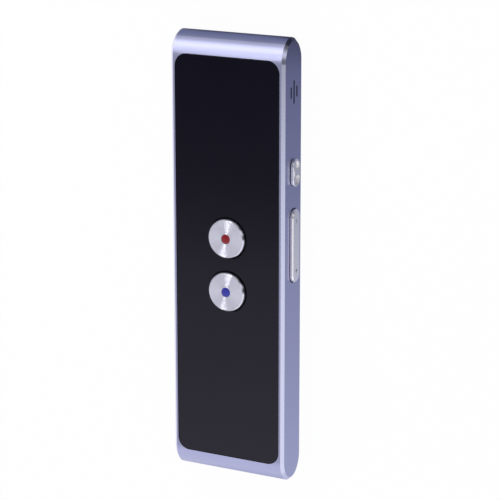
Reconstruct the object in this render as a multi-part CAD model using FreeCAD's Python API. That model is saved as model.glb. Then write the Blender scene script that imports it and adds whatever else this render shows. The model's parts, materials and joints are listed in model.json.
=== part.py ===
"""Handheld voice translator: a milled aluminium body with rounded ends, a black front panel,
two round talk keys, and a volume rocker and power slider on its right side.

The device lies on its back. +X is its right side, +Y its top end, +Z out of its front face.
The origin is the centre of the flat back. All sizes are in millimetres.
"""
import FreeCAD
import Part
import math
import os
from FreeCAD import Vector

# Milled body
body_length = 134.0
body_width = 36.8
body_thickness = 12.1
end_reach = 7.0             # how far a rounded end runs on past the flat back and front
nose_share = 0.885          # radius at an end's tip, as a share of half the thickness
edge_bevel = 0.9
front_rim = 0.55            # flat metal between the bevel and the front panel
end_margin = 6.1            # from the tip of an end to the pocket
back_wall = 1.2

# Front panel and its adhesive
panel_thickness = 1.5
panel_corner = 3.75
panel_gap = 0.08
panel_edge_break = 0.15
tape_thickness = 0.2
tape_width = 1.4

# Main board, hung from the front face
front_to_board = 5.2
board_thickness = 0.8
board_side_gap = 1.95       # from the pocket's side to the board
board_end_gap = 0.3
board_corner = 3.0
part_gap = 0.3              # between pieces that only pass each other

# Screws through the frame and board into the body
small_sides = 12            # flats round each small post, hole and plunger
screw_diameter = 1.6
screw_core = 1.25
screw_head = 2.9
screw_head_height = 0.9
screw_grip = 3.0
recess_length = 1.6
recess_width = 0.36
recess_depth = 0.45
boss_diameter = 4.0
screw_edge_x = 3.05         # from the pocket's side to a screw
screw_edge_y = 3.0          # from the pocket's end to a screw
left_middle_screw_y = 30.0
right_middle_screw_y = -16.0

# Key frame under the panel
frame_plate = 1.5
frame_gap = 0.1
frame_rib = 1.0
window_side = 3.6

# Talk keys
key_diameter = 11.7
key_proud = 1.0
key_rim_chamfer = 0.35
key_wall = 0.9
key_roof = 0.9
key_hole_gap = 0.3
key_hole_chamfer = 0.3
key_travel = 0.4
red_key_y = 7.2
blue_key_y = -9.0
dot_diameter = 2.9
dot_depth = 0.4
dot_sink = 0.02             # the dot's face below the cap's
flange_lip = 0.9            # how far the flange reaches past the panel's hole
flange_thickness = 0.6
key_clearance = 0.1
key_ear = 1.0
key_ear_width = 2.4
post_diameter = 2.4
contact_gap = 0.05          # between an actuator and the plunger that it pushes

# Tactile switches under the talk keys
switch_side = 4.5
switch_height = 1.5
plunger_diameter = 2.0
plunger_proud = 0.5
plunger_depth = 0.5         # the length of a plunger inside its switch
plunger_fit = 0.05

# Controls on the right side
side_axis_below_board = 0.45
side_key_proud = 1.04
side_key_chamfer = 0.35
side_switch_height = 1.8
side_switch_depth = 2.6
side_switch_width = 4.0
side_plunger_diameter = 1.3
side_plunger_proud = 0.75
side_plunger_depth = 0.6

volume_y = 5.8
volume_length = 22.0
volume_width = 4.7
volume_gap = 0.3
volume_swing = 1.6          # degrees each way
volume_flange_lip = 0.5
volume_flange = 0.9
volume_flange_clearance = 0.4
volume_switch_arm = 8.5
volume_boss_diameter = 1.6
volume_boss_reach = 0.6     # from the rocker's flange to a plunger
pin_diameter = 1.0
pin_fit = 0.03
pin_to_flange = 1.4
lug_radius = 1.0
lug_height = 3.6
bracket_width = 6.0
bracket_web = 1.0
bracket_pin_seat = 1.4

power_y = 27.65
power_length = 8.3
power_width = 4.4
power_travel = 2.0
power_lift = 0.2            # the cap's running gap over the body's side
power_rim = 0.5
power_dish = 0.5
ridge_length = 2.1
ridge_proud = 0.2
stem_length = 2.4
stem_width = 1.8
stem_gap = 0.15
carrier_length = 9.2
carrier_width = 5.4
carrier_plate = 0.8
carrier_clearance = 0.2
lever_width = 1.2
lever_height = 0.9
lever_fit = 0.05
prong_width = 1.0
power_switch_length = 9.0

# Sound outlet on the right side, near the top
slit_from_end = 15.8
slit_pitch = 1.87
slit_width = 0.75
long_slit = 6.9
short_slit = 3.3

# Loudspeaker
speaker_boss_gap = 0.6
speaker_length = 19.0
speaker_wall = 0.6
nozzle_margin = 0.8
mesh_thickness = 0.15
driver_width = 16.0
driver_length = 12.0
driver_headroom = 1.0       # between the driver and the lid of its box
driver_rim = 1.2
cone_depth = 0.5
dome_width = 8.0
dome_length = 6.0
dome_height = 0.4

# Charging socket and microphone in the bottom end
socket_width = 7.5
socket_height = 2.5
socket_depth = 8.0
socket_corner = 1.0
core_depth = 2.7            # the plastic block at the back of the socket
socket_skin = 0.3
socket_inset = 0.6          # from the tip of the end to the socket's mouth
socket_gap = 0.2
socket_below_board_top = 0.85
tongue_width = 3.6
tongue_thickness = 0.6
tongue_rise = 0.62          # from the socket's middle to the tongue's top
tongue_setback = 1.2        # from the socket's mouth to the tongue's tip
microphone_boss_gap = 0.4
microphone_diameter = 4.0
microphone_length = 1.5
microphone_hole = 1.0
boot_wall = 0.5
boot_front = 0.6

# Battery under the board
battery_length = 62.0
battery_left_gap = 3.05     # from the pocket's left side to the cell
battery_right_gap = 0.6     # from the cell to the side switches
battery_bottom_y = -46.0
battery_corner = 0.75
battery_end_inset = 1.5     # from the cell's outline to its tape and its protection board
battery_tape = 0.15
battery_top_gap = 0.5
protection_board_length = 3.0
protection_board_thickness = 0.8
lead_width = 0.9
lead_thickness = 0.3
lead_spacing = 3.0
lead_run = 3.4

# Parts on the board
shield_width = 17.0
shield_length = 14.0
shield_height = 1.4
shield_y = 30.0
shield_skin = 0.2
radio_chip_side = 7.0
chip_edge_gap = 4.4         # from the board's side to a chip
wide_chip = 5.0
narrow_chip = 3.0
chip_row_pitch = 13.5
chip_end_gap = 13.0         # from the pocket's end to the first chip
antenna_length = 7.0
antenna_width = 2.2
antenna_post_gap = 1.4
light_side = 1.6
light_height = 0.6
light_key_gap = 14.0        # from the red key's centre to the light
chip_height = 0.9

# Places worked out from the sizes above
half_width = body_width / 2
half_length = body_length / 2
half_thickness = body_thickness / 2
pocket_x = half_width - edge_bevel - front_rim
pocket_y = half_length - end_margin
pocket_corner = panel_corner + panel_gap
board_half_width = pocket_x - board_side_gap
floor_z = back_wall
front_z = body_thickness
panel_bottom = front_z - panel_thickness
frame_top = panel_bottom - tape_thickness
frame_bottom = frame_top - frame_plate
board_top = front_z - front_to_board
board_bottom = board_top - board_thickness
side_z = board_bottom - side_axis_below_board
plunger_z = board_bottom - side_switch_height / 2
socket_z = board_top - socket_below_board_top
hole_radius = key_diameter / 2 + key_hole_gap
flange_radius = hole_radius + flange_lip
flange_top = panel_bottom - key_clearance
flange_bottom = flange_top - flange_thickness
ledge_z = flange_bottom - key_travel - key_clearance
volume_flange_x = pocket_x - volume_flange_clearance
volume_inner_x = volume_flange_x - volume_flange
pin_x = volume_inner_x - pin_to_flange
side_tip_x = volume_inner_x - volume_boss_reach
side_switch_x = side_tip_x - side_plunger_proud
carrier_outer_x = pocket_x - carrier_clearance
carrier_inner_x = carrier_outer_x - carrier_plate
slit_y = half_length - slit_from_end
speaker_top_y = pocket_y - part_gap
switch_places = {"up": volume_y - volume_switch_arm, "down": volume_y + volume_switch_arm}
screw_x = pocket_x - screw_edge_x
screw_y = pocket_y - screw_edge_y
speaker_right_x = screw_x - boss_diameter / 2 - speaker_boss_gap
boot_radius = microphone_diameter / 2 + boot_wall
microphone_x = -(screw_x - boss_diameter / 2 - microphone_boss_gap - boot_radius)
antenna_left_x = -(screw_x - boss_diameter / 2 - antenna_post_gap)
bracket_x = pin_x - lug_radius - part_gap - bracket_web
battery_left_x = -(pocket_x - battery_left_gap)
battery_right_x = min(bracket_x, side_switch_x - side_switch_depth) - battery_right_gap
battery_width = battery_right_x - battery_left_x
battery_centre_x = (battery_right_x + battery_left_x) / 2
screw_places = [(screw_x, screw_y), (-screw_x, screw_y), (screw_x, -screw_y), (-screw_x, -screw_y),
                (-screw_x, left_middle_screw_y), (screw_x, right_middle_screw_y)]
clear = 1.0                 # how far a cutting tool runs on past what it cuts


# Basic solids

def block(x, y, z):
    """A box between the low and high value of each axis."""
    return Part.makeBox(x[1] - x[0], y[1] - y[0], z[1] - z[0], Vector(x[0], y[0], z[0]))


def rod_y(radius, x, y, z):
    return Part.makeCylinder(radius, y[1] - y[0], Vector(x, y[0], z), Vector(0, 1, 0))


def rod_z(radius, x, y, z):
    return Part.makeCylinder(radius, z[1] - z[0], Vector(x, y, z[0]), Vector(0, 0, 1))


def plate_at(x, y, width, length, z):
    """A box round a middle point, lying flat."""
    return block((x - width / 2, x + width / 2), (y - length / 2, y + length / 2), z)


def sided(radius, start, reach):
    """A many-sided prism from a point along a vector, for small rounds of which there are many."""
    turn = 2 * math.pi / small_sides
    ring = [Vector(radius * math.cos(turn * i), radius * math.sin(turn * i), 0) for i in range(small_sides)]
    prism = Part.Face(Part.makePolygon(ring + ring[:1])).extrude(Vector(0, 0, reach.Length))
    prism.Placement = FreeCAD.Placement(start, FreeCAD.Rotation(Vector(0, 0, 1), reach))
    return prism


def sided_x(radius, x, y, z):
    return sided(radius, Vector(x[0], y, z), Vector(x[1] - x[0], 0, 0))


def sided_y(radius, x, y, z):
    return sided(radius, Vector(x, y[0], z), Vector(0, y[1] - y[0], 0))


def sided_z(radius, x, y, z):
    return sided(radius, Vector(x, y, z[0]), Vector(0, 0, z[1] - z[0]))


def rounded_outline(half_a, half_b, radius):
    """A closed rounded rectangle in the XY plane, made of lines and quarter circles."""
    a, b = half_a - radius, half_b - radius
    corners = [(a, b, 0), (-a, b, 90), (-a, -b, 180), (a, -b, 270)]
    edges = []
    for i, (x, y, start) in enumerate(corners):
        arc = Part.makeCircle(radius, Vector(x, y, 0), Vector(0, 0, 1), start, start + 90)
        next_x, next_y, turn = corners[(i + 1) % 4]
        first = arc.valueAt(arc.LastParameter)
        t = math.radians(turn)
        last = Vector(next_x + radius * math.cos(t), next_y + radius * math.sin(t), 0)
        edges.append(arc)
        if (last - first).Length > 1e-6:
            edges.append(Part.makeLine(first, last))
    return Part.Wire(edges)


def slab(half_x, half_y, radius, z, x=0.0, y=0.0):
    """A plate with rounded corners, lying flat."""
    face = Part.Face(rounded_outline(half_x, half_y, radius))
    face.translate(Vector(x, y, z[0]))
    return face.extrude(Vector(0, 0, z[1] - z[0]))


def bar_y(half_x, half_z, radius, y, x=0.0, z=0.0):
    """A bar with rounded long edges, running along Y."""
    face = Part.Face(rounded_outline(half_x, half_z, radius))
    face.rotate(Vector(0, 0, 0), Vector(1, 0, 0), 90)
    face.translate(Vector(x, y[0], z))
    return face.extrude(Vector(0, y[1] - y[0], 0))


def pill(half_y, half_z, x, y, z):
    """A round-ended bar seen from the right side, standing along X."""
    ends = half_y - half_z
    low, high = Vector(x[0], y - ends, z - half_z), Vector(x[0], y + ends, z - half_z)
    up = Vector(0, 0, 2 * half_z)
    out = Vector(0, half_z, half_z)
    top_arc = Part.Arc(high, high + out, high + up)
    low_arc = Part.Arc(low + up, low + Vector(0, -half_z, half_z), low)
    outline = Part.Wire([Part.makeLine(low, high), top_arc.toShape(),
                         Part.makeLine(high + up, low + up), low_arc.toShape()])
    return Part.Face(outline).extrude(Vector(x[1] - x[0], 0, 0))


def edges_in_plane(shape, axis, value):
    """The edges of a shape that lie wholly in one plane square to an axis."""
    found = []
    for edge in shape.Edges:
        box = edge.BoundBox
        low, high = (getattr(box, axis + "Min"), getattr(box, axis + "Max"))
        if abs(low - value) < 1e-4 and abs(high - value) < 1e-4:
            found.append(edge)
    return found


def joined(shapes):
    whole = shapes[0]
    for shape in shapes[1:]:
        whole = whole.fuse(shape)
    return whole.removeSplitter()


def without(shape, tools):
    for tool in tools:
        shape = shape.cut(tool)
    return shape


# Body

def end_arcs(side):
    """The oval outline of one end, in order round the body: a tight nose between two wider arcs."""
    nose = nose_share * half_thickness
    wide = ((end_reach - nose) ** 2 + half_thickness ** 2 - nose ** 2) / (2 * (half_thickness - nose))
    turn = math.atan2(end_reach - nose, wide - half_thickness)
    points = [(wide * math.sin(angle), wide * (1 - math.cos(angle))) for angle in (0, turn / 2, turn)]
    points += [(end_reach, half_thickness)] + [(y, body_thickness - z) for y, z in reversed(points)]
    if side < 0:
        points.reverse()
    flat_end = half_length - end_reach
    places = [Vector(0, side * (flat_end + y), z) for y, z in points]
    return [Part.Arc(*places[i:i + 3]).toShape() for i in (0, 2, 4)]


def body_blank():
    """The side outline drawn across the width, with its long edges bevelled."""
    flat_end = half_length - end_reach
    back = Part.makeLine(Vector(0, -flat_end, 0), Vector(0, flat_end, 0))
    front = Part.makeLine(Vector(0, flat_end, front_z), Vector(0, -flat_end, front_z))
    outline = Part.Wire([back] + end_arcs(1) + [front] + end_arcs(-1))
    face = Part.Face(outline)
    face.translate(Vector(-half_width, 0, 0))
    blank = face.extrude(Vector(body_width, 0, 0))
    side_edges = edges_in_plane(blank, "X", half_width) + edges_in_plane(blank, "X", -half_width)
    return blank.makeChamfer(edge_bevel, side_edges)


def slit_cutters():
    """Three slits side by side across the thickness, the middle one longer."""
    cutters = []
    for step in (-1, 0, 1):
        length = long_slit if step == 0 else short_slit
        cutters.append(pill(length / 2, slit_width / 2, (pocket_x - clear, half_width + clear),
                            slit_y, side_z + step * slit_pitch))
    return cutters


def power_slot():
    """The stem's slot: the stem's length and its travel, with a gap round it."""
    half_slot = (stem_length + power_travel) / 2 + stem_gap
    return pill(half_slot, stem_width / 2 + stem_gap, (pocket_x - clear, half_width + clear),
                power_y + power_travel / 2, side_z)


def volume_slot():
    return pill(volume_length / 2 + volume_gap, volume_width / 2 + volume_gap,
                (pocket_x - clear, half_width + clear), volume_y, side_z)


def make_housing():
    pocket = slab(pocket_x, pocket_y, pocket_corner, (floor_z, front_z + clear))
    bosses = [sided_z(boss_diameter / 2, x, y, (floor_z - back_wall / 2, board_bottom))
              for x, y in screw_places]
    hollow = joined([body_blank().cut(pocket)] + bosses)
    holes = [sided_z(screw_core / 2, x, y, (board_bottom - screw_grip - part_gap, board_bottom + clear))
             for x, y in screw_places]
    end = (-half_length - clear, -pocket_y + clear)
    socket_hole = bar_y(socket_width / 2 + socket_gap, socket_height / 2 + socket_gap,
                        socket_corner + socket_gap, end, 0.0, socket_z)
    sound_hole = rod_y(microphone_hole / 2, microphone_x, end, socket_z)
    return without(hollow, holes + slit_cutters() + [power_slot(), volume_slot(), socket_hole, sound_hole])


# Front panel, tape and key frame

def make_front_panel():
    plate = slab(pocket_x - panel_gap, pocket_y - panel_gap, panel_corner, (panel_bottom, front_z))
    plate = plate.makeChamfer(panel_edge_break, edges_in_plane(plate, "Z", front_z))
    for y in (red_key_y, blue_key_y):
        plate = plate.cut(rod_z(hole_radius, 0, y, (panel_bottom - clear, front_z + clear)))
        plate = plate.cut(Part.makeCone(hole_radius, hole_radius + key_hole_chamfer, key_hole_chamfer,
                                        Vector(0, y, front_z - key_hole_chamfer)))
    return plate


def make_panel_tape():
    outer = slab(pocket_x - panel_gap, pocket_y - panel_gap, panel_corner, (frame_top, panel_bottom))
    inner_x, inner_y = pocket_x - panel_gap - tape_width, pocket_y - panel_gap - tape_width
    inner = block((-inner_x, inner_x), (-inner_y, inner_y), (frame_top - clear, panel_bottom + clear))
    return outer.cut(inner)


def frame_windows():
    """Two openings that lighten the frame, above and below the keys."""
    reach = flange_radius + key_ear + window_side
    far = pocket_y - screw_edge_y - boss_diameter / 2 - window_side / 2
    windows = []
    half_x = pocket_x - frame_gap - window_side - screw_edge_x / 2
    z = (frame_bottom - clear, frame_top + clear)
    for low, high in ((red_key_y + reach, far), (-far, blue_key_y - reach)):
        windows.append(block((-half_x, half_x), (low, high), z))
    return windows


def ear_pads(y, grow, z):
    """Two ears on a key's flange, at its left and right, that stop the key turning."""
    reach = flange_radius + key_ear + grow
    return block((-reach, reach), (y - key_ear_width / 2 - grow, y + key_ear_width / 2 + grow), z)


def make_key_frame():
    plate = slab(pocket_x - frame_gap, pocket_y - frame_gap, pocket_corner - frame_gap,
                 (frame_bottom, frame_top))
    rib_x = board_half_width - part_gap
    ribs = [block(sorted((side * rib_x, side * (rib_x - frame_rib))), (-screw_y, screw_y),
                  (board_top, frame_bottom)) for side in (-1, 1)]
    posts = [sided_z(boss_diameter / 2, x, y, (board_top, frame_bottom)) for x, y in screw_places]
    tools = frame_windows()
    for y in (red_key_y, blue_key_y):
        tools.append(rod_z(hole_radius, 0, y, (frame_bottom - clear, frame_top + clear)))
        tools.append(rod_z(flange_radius + key_clearance * 2, 0, y, (ledge_z, frame_top + clear)))
        tools.append(ear_pads(y, key_clearance * 2, (ledge_z, frame_top + clear)))
    for x, y in screw_places:
        tools.append(sided_z(screw_diameter / 2 + key_clearance, x, y, (board_top - clear, frame_top + clear)))
        tools.append(sided_z(screw_head / 2 + key_clearance, x, y,
                             (frame_top - screw_head_height - key_clearance, frame_top + clear)))
    tools += board_edge_clearances((board_top - clear, frame_bottom))
    return without(joined([plate] + ribs + posts), tools)


# Main board

def board_edge_clearances(z):
    """Room at the right edge for the rocker's bracket and the loudspeaker's nozzle."""
    half_bracket = bracket_width / 2 + part_gap
    half_nozzle = long_slit / 2 + nozzle_margin + part_gap
    return [block((bracket_x - part_gap, half_width), (volume_y - half_bracket, volume_y + half_bracket), z),
            block((speaker_right_x + part_gap, half_width), (slit_y - half_nozzle, slit_y + half_nozzle), z)]


def make_main_board():
    depth = (board_bottom - clear, board_top + clear)
    board = slab(board_half_width, pocket_y - board_end_gap, board_corner, (board_bottom, board_top))
    socket_half = socket_width / 2 + socket_gap
    socket_end = -half_length + socket_inset + socket_depth + socket_gap
    boot_half = boot_radius + part_gap
    boot_end = -pocket_y + boot_front + microphone_length + part_gap
    tools = [sided_z(screw_diameter / 2 + key_clearance, x, y, depth) for x, y in screw_places]
    tools.append(block((-socket_half, socket_half), (-half_length, socket_end), depth))
    tools.append(block((microphone_x - boot_half, microphone_x + boot_half), (-half_length, boot_end), depth))
    return without(board, tools + board_edge_clearances(depth))


def make_shield_can():
    """A folded steel can, open underneath."""
    outer = plate_at(0.0, shield_y, shield_width, shield_length, (board_top, board_top + shield_height))
    inner = plate_at(0.0, shield_y, shield_width - 2 * shield_skin, shield_length - 2 * shield_skin,
                     (board_top - clear, board_top + shield_height - shield_skin))
    return outer.cut(inner)


def make_radio_chip():
    return plate_at(0.0, shield_y, radio_chip_side, radio_chip_side, (board_top, board_top + chip_height))


def make_board_chips():
    """Memory, charger and amplifier chips in rows of two, at both ends of the board."""
    z = (board_top, board_top + chip_height)
    side_x = board_half_width - chip_edge_gap
    first_y = pocket_y - chip_end_gap
    chips = []
    for y in (first_y, -first_y, chip_row_pitch - first_y, 2 * chip_row_pitch - first_y):
        chips.append(plate_at(wide_chip / 2 - side_x, y, wide_chip, wide_chip, z))
        chips.append(plate_at(side_x - narrow_chip / 2, y, narrow_chip, narrow_chip, z))
    return Part.makeCompound(chips)


def make_antenna():
    return block((antenna_left_x, antenna_left_x + antenna_length),
                 (screw_y - antenna_width, screw_y), (board_top, board_top + chip_height))


def make_status_light():
    low_y = red_key_y + light_key_gap
    return block((-light_side / 2, light_side / 2), (low_y, low_y + light_side),
                 (board_top, board_top + light_height))


def make_frame_screws():
    """Six small screws with a cross recess in their heads."""
    screws = []
    head_bottom = frame_top - screw_head_height - key_clearance
    head = (head_bottom, head_bottom + screw_head_height)
    arm, across = recess_length / 2, recess_width / 2
    for x, y in screw_places:
        screw = joined([sided_z(screw_head / 2, x, y, head),
                        sided_z(screw_core / 2, x, y, (board_bottom - screw_grip, head_bottom))])
        for half_x, half_y in ((arm, across), (across, arm)):
            screw = screw.cut(block((x - half_x, x + half_x), (y - half_y, y + half_y),
                                    (head[1] - recess_depth, head[1] + clear)))
        screws.append(screw)
    return Part.makeCompound(screws)


# Talk keys

def make_key_cap(y):
    """A turned metal cap: a shallow cup upside down, chamfered at its rim, with a pocket for the dot."""
    top = front_z + key_proud
    radius = key_diameter / 2
    cap = rod_z(radius, 0, y, (flange_top, top))
    cap = cap.makeChamfer(key_rim_chamfer, edges_in_plane(cap, "Z", top))
    cap = cap.cut(rod_z(radius - key_wall, 0, y, (flange_top - clear, top - key_roof)))
    return cap.cut(rod_z(dot_diameter / 2, 0, y, (top - dot_depth, top + clear)))


def make_key_dot(y):
    top = front_z + key_proud
    return rod_z(dot_diameter / 2, 0, y, (top - dot_depth, top - dot_sink))


def make_key_carrier(y):
    """The flange that holds a key in, its two ears, the hub inside the cap and the post above the switch."""
    hub_top = front_z + key_proud - key_roof
    post_bottom = board_top + switch_height + plunger_proud + contact_gap
    return joined([rod_z(flange_radius, 0, y, (flange_bottom, flange_top)),
                   ear_pads(y, 0.0, (flange_bottom, flange_top)),
                   rod_z(key_diameter / 2 - key_wall, 0, y, (flange_top, hub_top)),
                   sided_z(post_diameter / 2, 0, y, (post_bottom, flange_bottom))])


def make_talk_switch(y):
    """A square tactile switch with a round hole for its plunger."""
    top = board_top + switch_height
    case = plate_at(0.0, y, switch_side, switch_side, (board_top, top))
    hole = sided_z(plunger_diameter / 2 + plunger_fit, 0, y,
                   (top - plunger_depth - key_travel - key_clearance, top + clear))
    return case.cut(hole)


def make_talk_plunger(y):
    top = board_top + switch_height
    return sided_z(plunger_diameter / 2, 0, y, (top - plunger_depth, top + plunger_proud))


# Volume rocker

def make_volume_key():
    """A round-ended key with a flange inside the wall, a lug for its pin and a boss for each switch."""
    outer_x = half_width + side_key_proud
    key = pill(volume_length / 2, volume_width / 2, (volume_flange_x, outer_x), volume_y, side_z)
    key = key.makeChamfer(side_key_chamfer, edges_in_plane(key, "X", outer_x))
    flange = pill(volume_length / 2 + volume_flange_lip, volume_width / 2 + volume_flange_lip,
                  (volume_inner_x, volume_flange_x), volume_y, side_z)
    lug_z = (side_z - lug_height / 2, side_z + lug_height / 2)
    lug = [rod_z(lug_radius, pin_x, volume_y, lug_z),
           block((pin_x, volume_inner_x), (volume_y - lug_radius, volume_y + lug_radius), lug_z)]
    bosses = [sided_x(volume_boss_diameter / 2, (side_tip_x + contact_gap, volume_inner_x), y, plunger_z)
              for y in switch_places.values()]
    bore = rod_z(pin_diameter / 2 + pin_fit, pin_x, volume_y, (lug_z[0] - clear, lug_z[1] + clear))
    return joined([key, flange] + lug + bosses).cut(bore)


def make_volume_bracket():
    """A C-shaped bracket between the body's floor and the frame, whose two ears hold the rocker's pin."""
    half_gap = lug_height / 2 + key_clearance
    y = (volume_y - bracket_width / 2, volume_y + bracket_width / 2)
    bracket = block((bracket_x, pin_x + lug_radius), y, (floor_z, frame_bottom))
    mouth = block((bracket_x + bracket_web, pin_x + lug_radius + clear), (y[0] - clear, y[1] + clear),
                  (side_z - half_gap, side_z + half_gap))
    return without(bracket, [mouth, make_volume_pin()])


def make_volume_pin():
    low = side_z - lug_height / 2 - bracket_pin_seat
    return rod_z(pin_diameter / 2, pin_x, volume_y, (low, frame_bottom))


def side_switch_bore(y, reach):
    """The hole of a side switch, deep enough for its plunger's travel."""
    travel = volume_switch_arm * math.sin(math.radians(volume_swing))
    end_x = side_switch_x - side_plunger_depth - travel - key_clearance
    return sided_x(side_plunger_diameter / 2 + plunger_fit, (end_x, side_switch_x + reach), y, plunger_z)


def make_volume_switches():
    cases = []
    for y in switch_places.values():
        case = block((side_switch_x - side_switch_depth, side_switch_x),
                     (y - side_switch_width / 2, y + side_switch_width / 2),
                     (board_bottom - side_switch_height, board_bottom))
        cases.append(case.cut(side_switch_bore(y, clear)))
    return Part.makeCompound(cases)


def make_volume_plunger(y):
    return sided_x(side_plunger_diameter / 2, (side_switch_x - side_plunger_depth, side_tip_x), y, plunger_z)


# Power slider

def make_power_cap():
    """The sliding cap: a raised rim round a dished face, a grip ridge across it and a stem behind."""
    base = half_width + power_lift
    rim = half_width + side_key_proud
    cap = pill(power_length / 2, power_width / 2, (base, rim), power_y, side_z)
    cap = cap.makeChamfer(side_key_chamfer / 2, edges_in_plane(cap, "X", rim))
    dish = pill(power_length / 2 - power_rim, power_width / 2 - power_rim, (rim - power_dish, rim + clear),
                power_y, side_z)
    ridge_z = power_width / 2 - power_rim
    ridge = block((rim - power_dish, rim + ridge_proud),
                  (power_y - ridge_length / 2, power_y + ridge_length / 2), (side_z - ridge_z, side_z + ridge_z))
    ridge = ridge.makeFillet(ridge_length / 4, [e for e in edges_in_plane(ridge, "X", rim + ridge_proud)
                                                if e.BoundBox.ZLength > e.BoundBox.YLength])
    stem = pill(stem_length / 2, stem_width / 2, (carrier_inner_x, base), power_y, side_z)
    return joined([cap.cut(dish), ridge, stem])


def make_power_carrier():
    """The plate inside the wall that the cap's stem snaps into, with two prongs round the switch's lever."""
    half_y, half_z = carrier_length / 2, carrier_width / 2
    plate = block((carrier_inner_x, carrier_outer_x), (power_y - half_y, power_y + half_y),
                  (side_z - half_z, side_z + half_z))
    plate = plate.cut(pill(stem_length / 2, stem_width / 2, (carrier_inner_x - clear, carrier_outer_x + clear),
                           power_y, side_z))
    inner = lever_width / 2 + lever_fit
    prongs = []
    for side in (-1, 1):
        y = sorted((power_y + side * inner, power_y + side * (inner + prong_width)))
        prongs.append(block((side_tip_x - part_gap, carrier_inner_x), y,
                            (plunger_z - lever_height / 2, plunger_z + lever_height / 2)))
    return joined([plate] + prongs)


def make_power_switch():
    """A slide switch under the board, with a slot for its lever."""
    middle = power_y + power_travel / 2
    case = block((side_switch_x - side_switch_depth, side_switch_x),
                 (middle - power_switch_length / 2, middle + power_switch_length / 2),
                 (board_bottom - side_switch_height, board_bottom))
    half_slot = (lever_width + power_travel) / 2 + key_clearance
    slot = block((side_switch_x - side_plunger_depth - key_clearance, side_switch_x + clear),
                 (middle - half_slot, middle + half_slot),
                 (plunger_z - lever_height / 2 - lever_fit, plunger_z + lever_height / 2 + lever_fit))
    return case.cut(slot)


def make_power_lever():
    return block((side_switch_x - side_plunger_depth, carrier_inner_x - key_clearance),
                 (power_y - lever_width / 2, power_y + lever_width / 2),
                 (plunger_z - lever_height / 2, plunger_z + lever_height / 2))


# Loudspeaker

def speaker_body(shrink):
    """The sealed box under the board and its nozzle to the slits, made smaller all round by shrink."""
    half_nozzle = long_slit / 2 + nozzle_margin - shrink
    half_rise = slit_pitch + slit_width / 2 + nozzle_margin - shrink
    box = block((-speaker_right_x + shrink, speaker_right_x - shrink),
                (speaker_top_y - speaker_length + shrink, speaker_top_y - shrink),
                (floor_z + shrink, board_bottom - part_gap - shrink))
    mouth = pocket_x - mesh_thickness
    nozzle = block((speaker_right_x - speaker_wall - part_gap, mouth + (clear if shrink else 0.0)),
                   (slit_y - half_nozzle, slit_y + half_nozzle), (side_z - half_rise, side_z + half_rise))
    return box, nozzle


def make_speaker_box():
    box, nozzle = speaker_body(0.0)
    room, duct = speaker_body(speaker_wall)
    low, high = floor_z, board_bottom - part_gap
    riser = nozzle.common(block((0, half_width), (-half_length, half_length), (low, front_z)))
    neck = riser.cut(block((0, speaker_right_x + part_gap), (-half_length, half_length), (high, front_z)))
    hollow = room.fuse(duct.cut(block((0, speaker_right_x + part_gap + speaker_wall),
                                      (-half_length, half_length), (high - speaker_wall, front_z))))
    return joined([box, neck]).cut(hollow)


def driver_z():
    return (floor_z + speaker_wall, board_bottom - part_gap - speaker_wall - driver_headroom)


def make_speaker_driver():
    """The driver's frame with its cone sunk in the top and a flat dome in the middle."""
    middle = speaker_top_y - speaker_length / 2
    low, top = driver_z()
    frame = plate_at(0.0, middle, driver_width, driver_length, (low, top))
    cone = plate_at(0.0, middle, driver_width - 2 * driver_rim, driver_length - 2 * driver_rim,
                    (top - cone_depth, top + clear))
    dome = plate_at(0.0, middle, dome_width, dome_length, (top - cone_depth, top - cone_depth + dome_height))
    return joined([frame.cut(cone), dome])


def make_speaker_mesh():
    half_nozzle = long_slit / 2 + nozzle_margin
    half_rise = slit_pitch + slit_width / 2 + nozzle_margin
    return block((pocket_x - mesh_thickness, pocket_x), (slit_y - half_nozzle, slit_y + half_nozzle),
                 (side_z - half_rise, side_z + half_rise))


# Charging socket and microphone

def socket_core(y):
    """What fills the sleeve's bore over a stretch of its depth."""
    return bar_y(socket_width / 2 - socket_skin, socket_height / 2 - socket_skin, socket_corner - socket_skin,
                 y, 0.0, socket_z)


def make_socket_shell():
    """The charging socket's folded steel sleeve, open at its mouth."""
    mouth = -half_length + socket_inset
    y = (mouth, mouth + socket_depth)
    shell = bar_y(socket_width / 2, socket_height / 2, socket_corner, y, 0.0, socket_z)
    return shell.cut(socket_core((y[0] - clear, y[1] - socket_skin)))


def make_socket_tongue():
    """The plastic block at the back of the sleeve and the contact tongue that stands out of it."""
    mouth = -half_length + socket_inset
    back = mouth + socket_depth - socket_skin
    core = socket_core((back - core_depth, back))
    tongue_top = socket_z + tongue_rise
    tongue = block((-tongue_width / 2, tongue_width / 2), (mouth + tongue_setback, back),
                   (tongue_top - tongue_thickness, tongue_top))
    return joined([core, tongue])


def boot_y():
    front = -pocket_y
    return (front, front + boot_front + microphone_length)


def make_microphone():
    return sided_y(microphone_diameter / 2, microphone_x, (boot_y()[0] + boot_front, boot_y()[1]), socket_z)


def make_microphone_boot():
    """A rubber cup that seals the microphone against the body, with a sound hole."""
    front, back = boot_y()
    boot = sided_y(boot_radius, microphone_x, (front, back), socket_z)
    seat = sided_y(microphone_diameter / 2, microphone_x, (front + boot_front, back + clear), socket_z)
    hole = sided_y(microphone_hole / 2, microphone_x, (front - clear, back), socket_z)
    return without(boot, [seat, hole])


# Battery

def battery_z():
    return (floor_z + battery_tape, board_bottom - battery_top_gap)


def make_battery_cell():
    """A flat pouch cell with rounded long edges."""
    low, high = battery_z()
    return bar_y(battery_width / 2, (high - low) / 2, battery_corner,
                 (battery_bottom_y, battery_bottom_y + battery_length), battery_centre_x, (low + high) / 2)


def make_battery_tape():
    return plate_at(battery_centre_x, battery_bottom_y + battery_length / 2,
                    battery_width - 2 * battery_end_inset, battery_length - 2 * battery_end_inset,
                    (floor_z, floor_z + battery_tape))


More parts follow.
